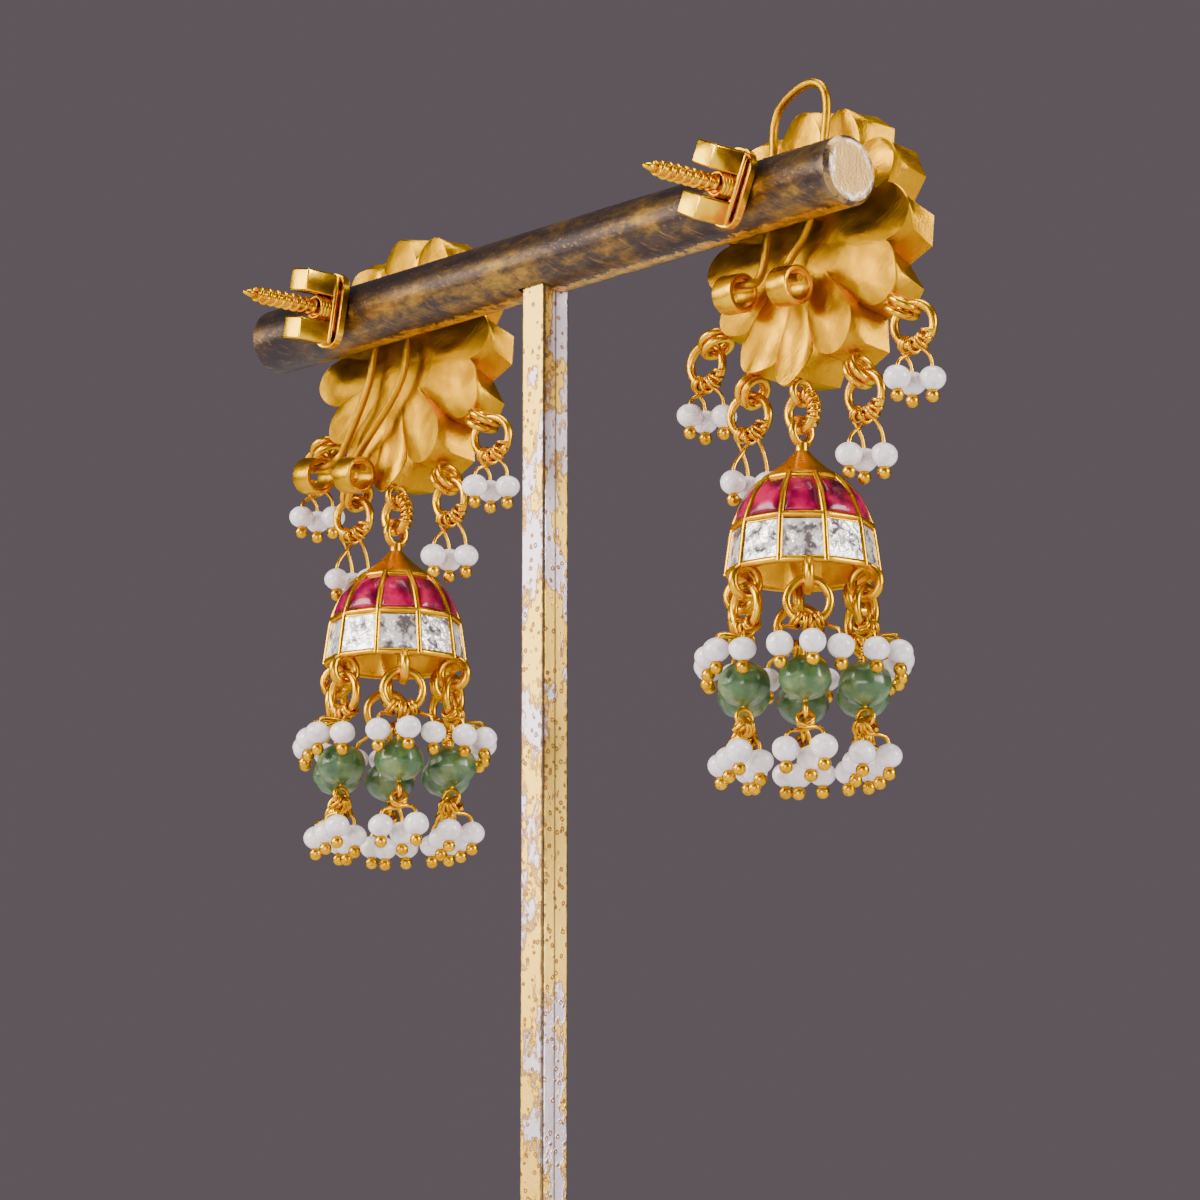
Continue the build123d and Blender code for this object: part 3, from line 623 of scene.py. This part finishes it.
for side in SIDES:
    middle = nut_middle[side]
    tubes = sorted((middle_of(box) for box in solids_of(f"support_tubes_{side}")), key=lambda tube: tube.x)
    route = [tubes[0] + Vector((-1.3, 0, 0.7)) * MM, tubes[0] + Vector((1.0, 0.1, 0.6)) * MM]
    for x, z in SUPPORT_ROUTE[side]:
        route.append(Vector((middle.x + x * MM, SUPPORT_Y * MM, middle.z + z * MM)))
    route += [tubes[1] + Vector((-1.0, 0.1, 0.7)) * MM, tubes[1] + Vector((1.3, 0, 0.5)) * MM]
    bm = bmesh.new()
    add_wire(bm, route, SUPPORT_WIRE * MM, steps=10, roundness=5)
    finish_piece(f"support_loop_{side}", bm, brushed_gold, f"support_{side}", "gold",
                 f"support_wire_{side}")
    rounded_copy(f"support_tubes_{side}", f"support_feet_{side}", f"support_{side}")

# Loops and jump rings: round wire bent to rings on the petals' tips, under the flower and
# below the bells. Where a ring closes, its end is wound a few times round itself.
RING_RADIUS, RING_WIRE = 1.8, 0.38
MAIN_RADIUS, MAIN_WIRE = 1.55, 0.42
LOOP_RADIUS, LOOP_WIRE = 0.95, 0.34
TIP_LOOP_RADIUS, TIP_LOOP_WIRE, TIP_LOOP_REACH = 1.25, 0.36, 13.0
WOBBLE = 0.03


def add_ring(bm, centre, radius, wire, normal, seed=0):
    """Hand-bent ring: a closed wire a little out of round. Sizes are in mm."""
    normal = Vector(normal).normalized()
    along = normal.orthogonal().normalized()
    across = normal.cross(along)
    route = []
    for k in range(20):
        turn = tau * k / 20
        reach = radius * (1.012 + WOBBLE * noise.noise(Vector((cos(turn), sin(turn), seed * 3.7))))
        route.append(centre + (along * cos(turn) + across * sin(turn)) * reach * MM)
    add_wire(bm, route, wire * MM, closed=True, roundness=3)


def add_winding(bm, centre, radius, coil, wire, start, end, turns):
    """Wire wound round a stretch of a ring that faces along Y, from one angle to another."""
    normal, up = Vector((0, 1, 0)), Vector((0, 0, 1))
    side_way = normal.cross(up)
    route = []
    steps = turns * 8
    for k in range(steps + 1):
        turn = start + (end - start) * k / steps
        outwards = side_way * cos(turn) + up * sin(turn)
        wind = tau * turns * k / steps
        route.append(centre + outwards * (radius + coil * cos(wind)) * MM + normal * coil * sin(wind) * MM)
    add_wire(bm, route, wire * MM, steps=2)


# The rings on the flower's edge hang down a little, to rest on their loops.
RING_SAG = Vector((0, 0, -0.6 * MM))
for side in SIDES:
    middle = nut_middle[side]
    main_ring = middle_of(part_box(f"main_ring_{side}"))
    bm = bmesh.new()
    add_ring(bm, main_ring, MAIN_RADIUS, MAIN_WIRE, (0, 1, 0))
    add_winding(bm, main_ring, MAIN_RADIUS, 0.54, 0.17, radians(-42), radians(66), 6)
    finish_piece(f"bail_ring_{side}", bm, gold, "stand", "gold", f"main_ring_{side}")
    bm = bmesh.new()
    loop_rise = MAIN_RADIUS - MAIN_WIRE - 0.1 + LOOP_RADIUS - 0.32
    add_ring(bm, main_ring + Vector((0, 0, loop_rise * MM)), LOOP_RADIUS, LOOP_WIRE, (1, 0, 0))
    for low, high in solids_of(f"stud_rings_{side}"):
        ring = (low + high) / 2
        flower_middle = Vector((middle.x, ring.y, middle.z + FLOWER_DROP * MM))
        petal_way = (ring - flower_middle).normalized()
        angle = atan2(petal_way.z, petal_way.x)
        step = tau / PETALS
        petal = round((angle - PETAL_TURN) / step) * step + PETAL_TURN
        tip = flower_middle + Vector((cos(petal), 0, sin(petal))) * TIP_LOOP_REACH * MM + RING_SAG * 0.6
        for shift in (-0.34, 0.34):
            offset = Vector((-sin(petal), 0, cos(petal))) * shift * MM
            facing = (-sin(petal), 0.25 * shift, cos(petal))
            add_ring(bm, tip + offset, TIP_LOOP_RADIUS, TIP_LOOP_WIRE, facing, seed=petal + shift)
    finish_piece(f"stud_loops_{side}", bm, gold, "stand", "gold")
    bm = bmesh.new()
    for k, (low, high) in enumerate(solids_of(f"stud_rings_{side}")):
        ring = (low + high) / 2 + RING_SAG
        add_ring(bm, ring, RING_RADIUS, RING_WIRE, (-0.22 + 0.12 * (-1) ** k, 1, 0.05), seed=k)
        add_winding(bm, ring, RING_RADIUS, 0.5, 0.16, radians(-62), radians(-22), 2)
    finish_piece(f"jump_rings_{side}", bm, gold, "stand", "gold", f"stud_rings_{side}")
    bm = bmesh.new()
    axis = middle_of(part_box(f"bell_{side}"))
    for k, (low, high) in enumerate(solids_of(f"strand_rings_{side}")):
        ring = (low + high) / 2
        outwards = Vector((ring.x - axis.x, ring.y - axis.y, 0)).normalized()
        add_ring(bm, ring, RING_RADIUS, RING_WIRE, outwards, seed=k + 9)
    finish_piece(f"strand_links_{side}", bm, gold, f"bell_{side}", "gold", f"strand_rings_{side}")

# Bell: a cap, ten bars, a belt and a rim soldered up as one frame. The bars and strips are
# half-round wire, rubbed smooth, so the frame gets rounded wires over its plain solid.
PANELS = 10
BELL_TURN = {"left": radians(16.9), "right": radians(9.8)}
BAR_WIRE, BAR_SUNK = 0.27, 0.08
# Heights below the nut's middle and radii of the bars, then heights, radii and wires of the
# three hoops round them, all in mm.
BELL_PROFILE = ((-23.75, 3.5), (-24.6, 4.33), (-25.5, 4.98), (-26.6, 5.46), (-27.8, 5.93), (-29.8, 6.2),
                (-31.8, 6.47))
HOOPS = ((-23.85, 3.42, 0.26), (-27.72, 5.86, 0.27), (-31.62, 6.34, 0.30))


def bell_axis(side):
    """The point of a bell's axis that is level with its nut's middle."""
    low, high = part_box(f"polki_{side}")
    return Vector(((low.x + high.x) / 2, (low.y + high.y) / 2, nut_middle[side].z))


for side in SIDES:
    rounded_copy(f"bell_{side}", f"bell_frame_{side}", f"bell_{side}")
    axis = bell_axis(side)
    bm = bmesh.new()
    for k in range(PANELS):
        turn = BELL_TURN[side] + tau * k / PANELS
        way = Vector((cos(turn), sin(turn), 0))
        bar_route = [axis + way * (r - BAR_SUNK) * MM + Vector((0, 0, z * MM)) for z, r in BELL_PROFILE]
        add_wire(bm, bar_route, BAR_WIRE * MM, roundness=3)
    for z, reach, wire in HOOPS:
        route = []
        for k in range(PANELS * 2):
            turn = BELL_TURN[side] + tau * k / (PANELS * 2)
            flat = 1 if k % 2 == 0 else cos(pi / PANELS)
            way = Vector((cos(turn), sin(turn), 0))
            route.append(axis + way * reach * flat * 1.01 * MM + Vector((0, 0, z * MM)))
        add_wire(bm, route, wire * MM, closed=True, roundness=3)
    finish_piece(f"bell_wires_{side}", bm, gold, f"bell_{side}", "gold")

# Stones of the bell: red stones in the upper row and flat clear ones over crinkled foil below.
# Each is a cut solid in its own seat.
ruby = Finish("ruby", 0.24)
depth = ruby.noise(2.2 * MM, 3, 0.5)
ruby.colour(ruby.ramp(depth, (0.38, (0.07, 0.0, 0.014)), (0.48, (0.20, 0.0, 0.034)),
                      (0.60, (0.46, 0.0, 0.062))))
ruby.shader.inputs["Specular IOR Level"].default_value = 0.25
ruby.shader.inputs["Coat Weight"].default_value = 0.18
ruby.shader.inputs["Coat Roughness"].default_value = 0.08
ruby.bump(ruby.noise(1.0 * MM, 3), 0.12 * MM, 0.5)

polki = Finish("clear_stone", 0.24, 0.4)
# The crinkled foil under these stones is not built. Its glints are painted as white blotches and its dark
# reflections as near-black ones over the foil's grey, and the same noise gives the relief.
foil_crinkles_and_glints = polki.noise(1.25 * MM, 2.5, 0.6)
polki.colour(polki.ramp(foil_crinkles_and_glints, (0.40, (0.15, 0.13, 0.13)), (0.46, (0.46, 0.41, 0.39)),
                        (0.51, (0.86, 0.81, 0.78)), (0.58, (1.0, 0.99, 0.98))))
polki.bump(foil_crinkles_and_glints, 0.55 * MM, 0.9)
polki.shader.inputs["Coat Weight"].default_value = 1.0
polki.shader.inputs["Coat Roughness"].default_value = 0.03
# Top and bottom of each row, how far its stones swell, in mm, and the cuts along a stone's side.
STONE_ROWS = {"rubies": (-24.15, -27.45, 0.32, 12), "polki": (-28.15, -31.35, 0.05, 7)}
STONE_DEPTH, SEAT_WALL = 0.45, 0.24
FACET_SEED = {"left": 4, "right": 5}


def bell_reach(z):
    """Radius of the bell's bars at a height in mm, along its profile."""
    for (high, r_high), (low, r_low) in zip(BELL_PROFILE, BELL_PROFILE[1:]):
        if z >= low:
            return r_high + (r_low - r_high) * (high - z) / (high - low)
    return BELL_PROFILE[-1][1]


for side in SIDES:
    axis = bell_axis(side)
    for row, finish in (("rubies", ruby), ("polki", polki)):
        top, bottom, crown, cuts = STONE_ROWS[row]
        bm = bmesh.new()
        for k in range(PANELS):
            turn = BELL_TURN[side] + tau * (k + 0.5) / PANELS
            outwards = Vector((cos(turn), sin(turn), 0))
            across = Vector((-sin(turn), cos(turn), 0))
            stone = bmesh.ops.create_grid(bm, x_segments=cuts, y_segments=cuts, size=1)["verts"]
            for vert in stone:
                u, v = vert.co.x, vert.co.y
                inside = (1 - u ** 4) * (1 - v ** 4)
                if row == "polki":
                    seed = Vector((u * 2.1 + k * 9, v * 2.1, FACET_SEED[side]))
                    u += 0.16 * inside * noise.noise(seed * 2.3)
                    v += 0.16 * inside * noise.noise(seed * 2.3 + Vector((5, 5, 5)))
                z = bottom + (top - bottom) * (v + 1) / 2
                reach = bell_reach(z)
                half = reach * sin(pi / PANELS) - SEAT_WALL
                rise = crown * inside
                if row == "polki":
                    rise += 0.15 * inside * noise.noise(seed * 3.1 + Vector((1, 2, 3)))
                out = reach * cos(pi / PANELS) + 0.02 + rise
                vert.co = axis + outwards * out * MM + across * half * u * MM + Vector((0, 0, z * MM))
            faces = list(dict.fromkeys(face for vert in stone for face in vert.link_faces))
            back = bmesh.ops.extrude_face_region(bm, geom=faces, use_keep_orig=True)["geom"]
            back_verts = [item for item in back if isinstance(item, bmesh.types.BMVert)]
            bmesh.ops.translate(bm, vec=-outwards * STONE_DEPTH * MM, verts=back_verts)
        bmesh.ops.recalc_face_normals(bm, faces=bm.faces)
        if row == "polki":
            bmesh.ops.triangulate(bm, faces=bm.faces)
        slot = "ruby" if row == "rubies" else "polki"
        stones = finish_piece(f"{slot}_stones_{side}", bm, finish, f"bell_{side}", slot, f"{row}_{side}")
        if row == "polki":
            for face in stones.data.polygons:
                face.use_smooth = False

# Pearls: small freshwater pearls, a little flattened and none quite round, drilled and
# strung on headpins whose ends are melted to a ball.
nacre = Finish("pearl", 0.28)
lustre = nacre.noise(0.9 * MM, 3)
nacre.colour(nacre.ramp(lustre, (0.35, (0.74, 0.67, 0.70)), (0.55, (0.87, 0.81, 0.82)),
                        (0.75, (0.93, 0.90, 0.89))))
nacre.shader.inputs["Subsurface Weight"].default_value = 0.15
nacre.shader.inputs["Subsurface Radius"].default_value = (0.6 * MM, 0.5 * MM, 0.5 * MM)
nacre.shader.inputs["Subsurface Scale"].default_value = 1.0
nacre.shader.inputs["Coat Weight"].default_value = 0.5
nacre.shader.inputs["Coat Roughness"].default_value = 0.15
nacre.bump(nacre.noise(0.5 * MM, 3), 0.06 * MM, 0.6)
PEARL_RADIUS = 1.14
PIN_WIRE, PIN_BALL, EYE_RADIUS = 0.17, 0.58, 0.72
PEARL_SEED = {"left": 0, "right": 40}
# How the pearls of a small cluster settle beside each other: the left, middle and right one.
SETTLED = (Vector((0.5, 0.35, -0.35)) * MM, Vector((-0.35, -0.15, 0.25)) * MM, Vector((0.15, 0.1, 0)) * MM)
UP = Vector((0, 0, 1))


def faces_bar(ring):
    """The rings on a flower's edge face along Y."""
    return Vector((0, 1, 0))


def add_pearl(bm, centre, seed):
    """One pearl: a flattened ball with a slight waist or bulge of its own."""
    ball = bmesh.ops.create_uvsphere(bm, u_segments=20, v_segments=14, radius=PEARL_RADIUS * MM)["verts"]
    for vert in ball:
        swell = 0.06 * noise.noise(vert.co * 700 + Vector((seed * 5.1, seed * 2.3, 0)))
        vert.co *= 1 + swell
        vert.co.z *= 0.90 + 0.06 * noise.noise(Vector((seed * 1.7, 0, 0)))
    bmesh.ops.translate(bm, vec=centre, verts=ball)


def add_headpin(pins, pearl, hook, tangent, eye, turns):
    """Headpin: a ball under the pearl, the pin through it, and an eye wound round a ring."""
    top = pearl + Vector((0, 0, (PEARL_RADIUS + 0.35) * MM))
    across = tangent.cross(UP).normalized()
    if across.dot(top - hook) < 0:
        across = -across
    down = tangent.cross(across).normalized()
    if down.z > 0:
        down = -down
    route = [pearl - Vector((0, 0, 1.4 * MM)), pearl, top, top.lerp(hook + down * eye * MM, 0.6)]
    steps = round(8 * turns)
    for k in range(steps + 1):
        turn = tau * k / 8
        shift = tangent * PIN_WIRE * turns * (k / steps - 0.5) * 2 * MM
        route.append(hook + (down * cos(turn) - across * sin(turn)) * eye * MM + shift)
    add_wire(pins, route, PIN_WIRE * MM, steps=3)
    ball = bmesh.ops.create_uvsphere(pins, u_segments=14, v_segments=10, radius=PIN_BALL * MM)["verts"]
    bmesh.ops.translate(pins, vec=pearl - Vector((0, 0, (PEARL_RADIUS + 0.32) * MM)), verts=ball)


def hang_pearls(side, pearls_node, pins_node, rings, radius, facing, body, eye, turns):
    """Pearls of one kind, three to a ring, each on a headpin hooked round the ring's low side."""
    pearls, pins = bmesh.new(), bmesh.new()
    taken = {}
    for k, (low, high) in enumerate(solids_of(pearls_node)):
        place = (low + high) / 2
        nearest = min(range(len(rings)), key=lambda n: (rings[n].xy - place.xy).length)
        if facing is faces_bar:
            across = place.x - rings[nearest].x
            place += SETTLED[(across > -0.8 * MM) + (across > 0.8 * MM)]
        add_pearl(pearls, place, k + PEARL_SEED[side])
        taken.setdefault(nearest, []).append(place)
    for number, group in taken.items():
        ring = rings[number]
        along = facing(ring).cross(UP).normalized()
        group.sort(key=lambda place: (place - ring).dot(along))
        for k, place in enumerate(group):
            turn = radians(30) * (k - (len(group) - 1) / 2)
            hook = ring + (along * sin(turn) - UP * cos(turn)) * radius * MM
            tangent = along * cos(turn) + UP * sin(turn)
            add_headpin(pins, place, hook, tangent, eye, turns)
    finish_piece(pearls_node.replace("_pearls", "_pearl_beads"), pearls, nacre, body, "pearl", pearls_node)
    finish_piece(pins_node.replace("_pins", "_headpins"), pins, gold, body, "gold", pins_node)


for side in SIDES:
    axis = middle_of(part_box(f"polki_{side}"))

    def faces_out(ring):
        return Vector((ring.x - axis.x, ring.y - axis.y, 0)).normalized()

    def faces_round(eye):
        return Vector((axis.y - eye.y, eye.x - axis.x, 0)).normalized()

    stud_rings = [middle_of(box) + RING_SAG for box in solids_of(f"stud_rings_{side}")]
    hang_pearls(side, f"stud_pearls_{side}", f"stud_pins_{side}", stud_rings, RING_RADIUS, faces_bar,
                "stand", 0.64, 1.6)
    strand_rings = [middle_of(box) for box in solids_of(f"strand_rings_{side}")]
    hang_pearls(side, f"strand_pearls_{side}", f"strand_pins_{side}", strand_rings, RING_RADIUS, faces_out,
                f"bell_{side}", 0.66, 2)
    low_eyes = []
    for low, high in solids_of(f"green_pins_{side}"):
        low_eyes.append(Vector(((low.x + high.x) / 2, (low.y + high.y) / 2, low.z + 0.92 * MM)))
    hang_pearls(side, f"tip_pearls_{side}", f"tip_pins_{side}", low_eyes, EYE_RADIUS, faces_round,
                f"bell_{side}", 0.72, 2)

# Green beads: round beads of cloudy green stone, cut with flats and frosted, each on a pin
# with an eye at both ends. The wire's end is wound round the pin above the bead.
green = Finish("green_stone", 0.30)
veins = green.noise(2.4 * MM, 5, 0.65)
green.colour(green.ramp(veins, (0.32, (0.022, 0.075, 0.024)), (0.50, (0.075, 0.17, 0.050)),
                        (0.68, (0.26, 0.33, 0.11))))
green.shader.inputs["Transmission Weight"].default_value = 0.35
green.shader.inputs["Subsurface Weight"].default_value = 0.5
green.shader.inputs["Subsurface Radius"].default_value = (1.0 * MM, 1.6 * MM, 1.0 * MM)
green.shader.inputs["Subsurface Scale"].default_value = 1.0
green.shader.inputs["Coat Weight"].default_value = 0.3
green.shader.inputs["Coat Roughness"].default_value = 0.2
green.bump(green.noise(0.35 * MM, 4), 0.02 * MM, 0.5)
# Flats round a bead and from its top to its bottom, and how flat each of them is.
ROUND_FLATS, TILT_FLATS = (10, 0.8), (9, 0.4)
WINDING_WIRE, WINDING_RADIUS, WINDING_PITCH = 0.13, 0.30, 0.27
WINDING_TURNS, WINDING_STEPS = 4, 8


def flattened(angle, count, depth):
    """How far a round section is cut back towards a polygon at an angle."""
    off = angle % (tau / count) - pi / count
    return 1 - depth * (1 - cos(pi / count) / cos(off))


for side in SIDES:
    bm = bmesh.new()
    for number, box in enumerate(solids_of(f"green_beads_{side}")):
        size = (box[1] - box[0]) / 2
        bead = bmesh.ops.create_uvsphere(bm, u_segments=48, v_segments=28, radius=1)["verts"]
        for vert in bead:
            turn = atan2(vert.co.y, vert.co.x) + number
            tilt = atan2(vert.co.z, sqrt(vert.co.x ** 2 + vert.co.y ** 2)) + pi / 2
            vert.co *= flattened(turn, *ROUND_FLATS) * flattened(tilt, *TILT_FLATS)
            vert.co = middle_of(box) + Vector(a * b for a, b in zip(vert.co, size))
    finish_piece(f"green_stones_{side}", bm, green, f"bell_{side}", "green_stone", f"green_beads_{side}")
    paint(f"green_pins_{side}", gold)
    bm = bmesh.new()
    for low, high in solids_of(f"green_pins_{side}"):
        pin = Vector(((low.x + high.x) / 2, (low.y + high.y) / 2, high.z - 2.1 * MM))
        route = []
        for k in range(WINDING_TURNS * WINDING_STEPS + 1):
            turn = tau * k / WINDING_STEPS
            down = -WINDING_PITCH * k / WINDING_STEPS
            route.append(pin + Vector((WINDING_RADIUS * cos(turn), WINDING_RADIUS * sin(turn), down)) * MM)
        add_wire(bm, route, WINDING_WIRE * MM, steps=2)
    finish_piece(f"green_windings_{side}", bm, gold, f"bell_{side}", "gold")
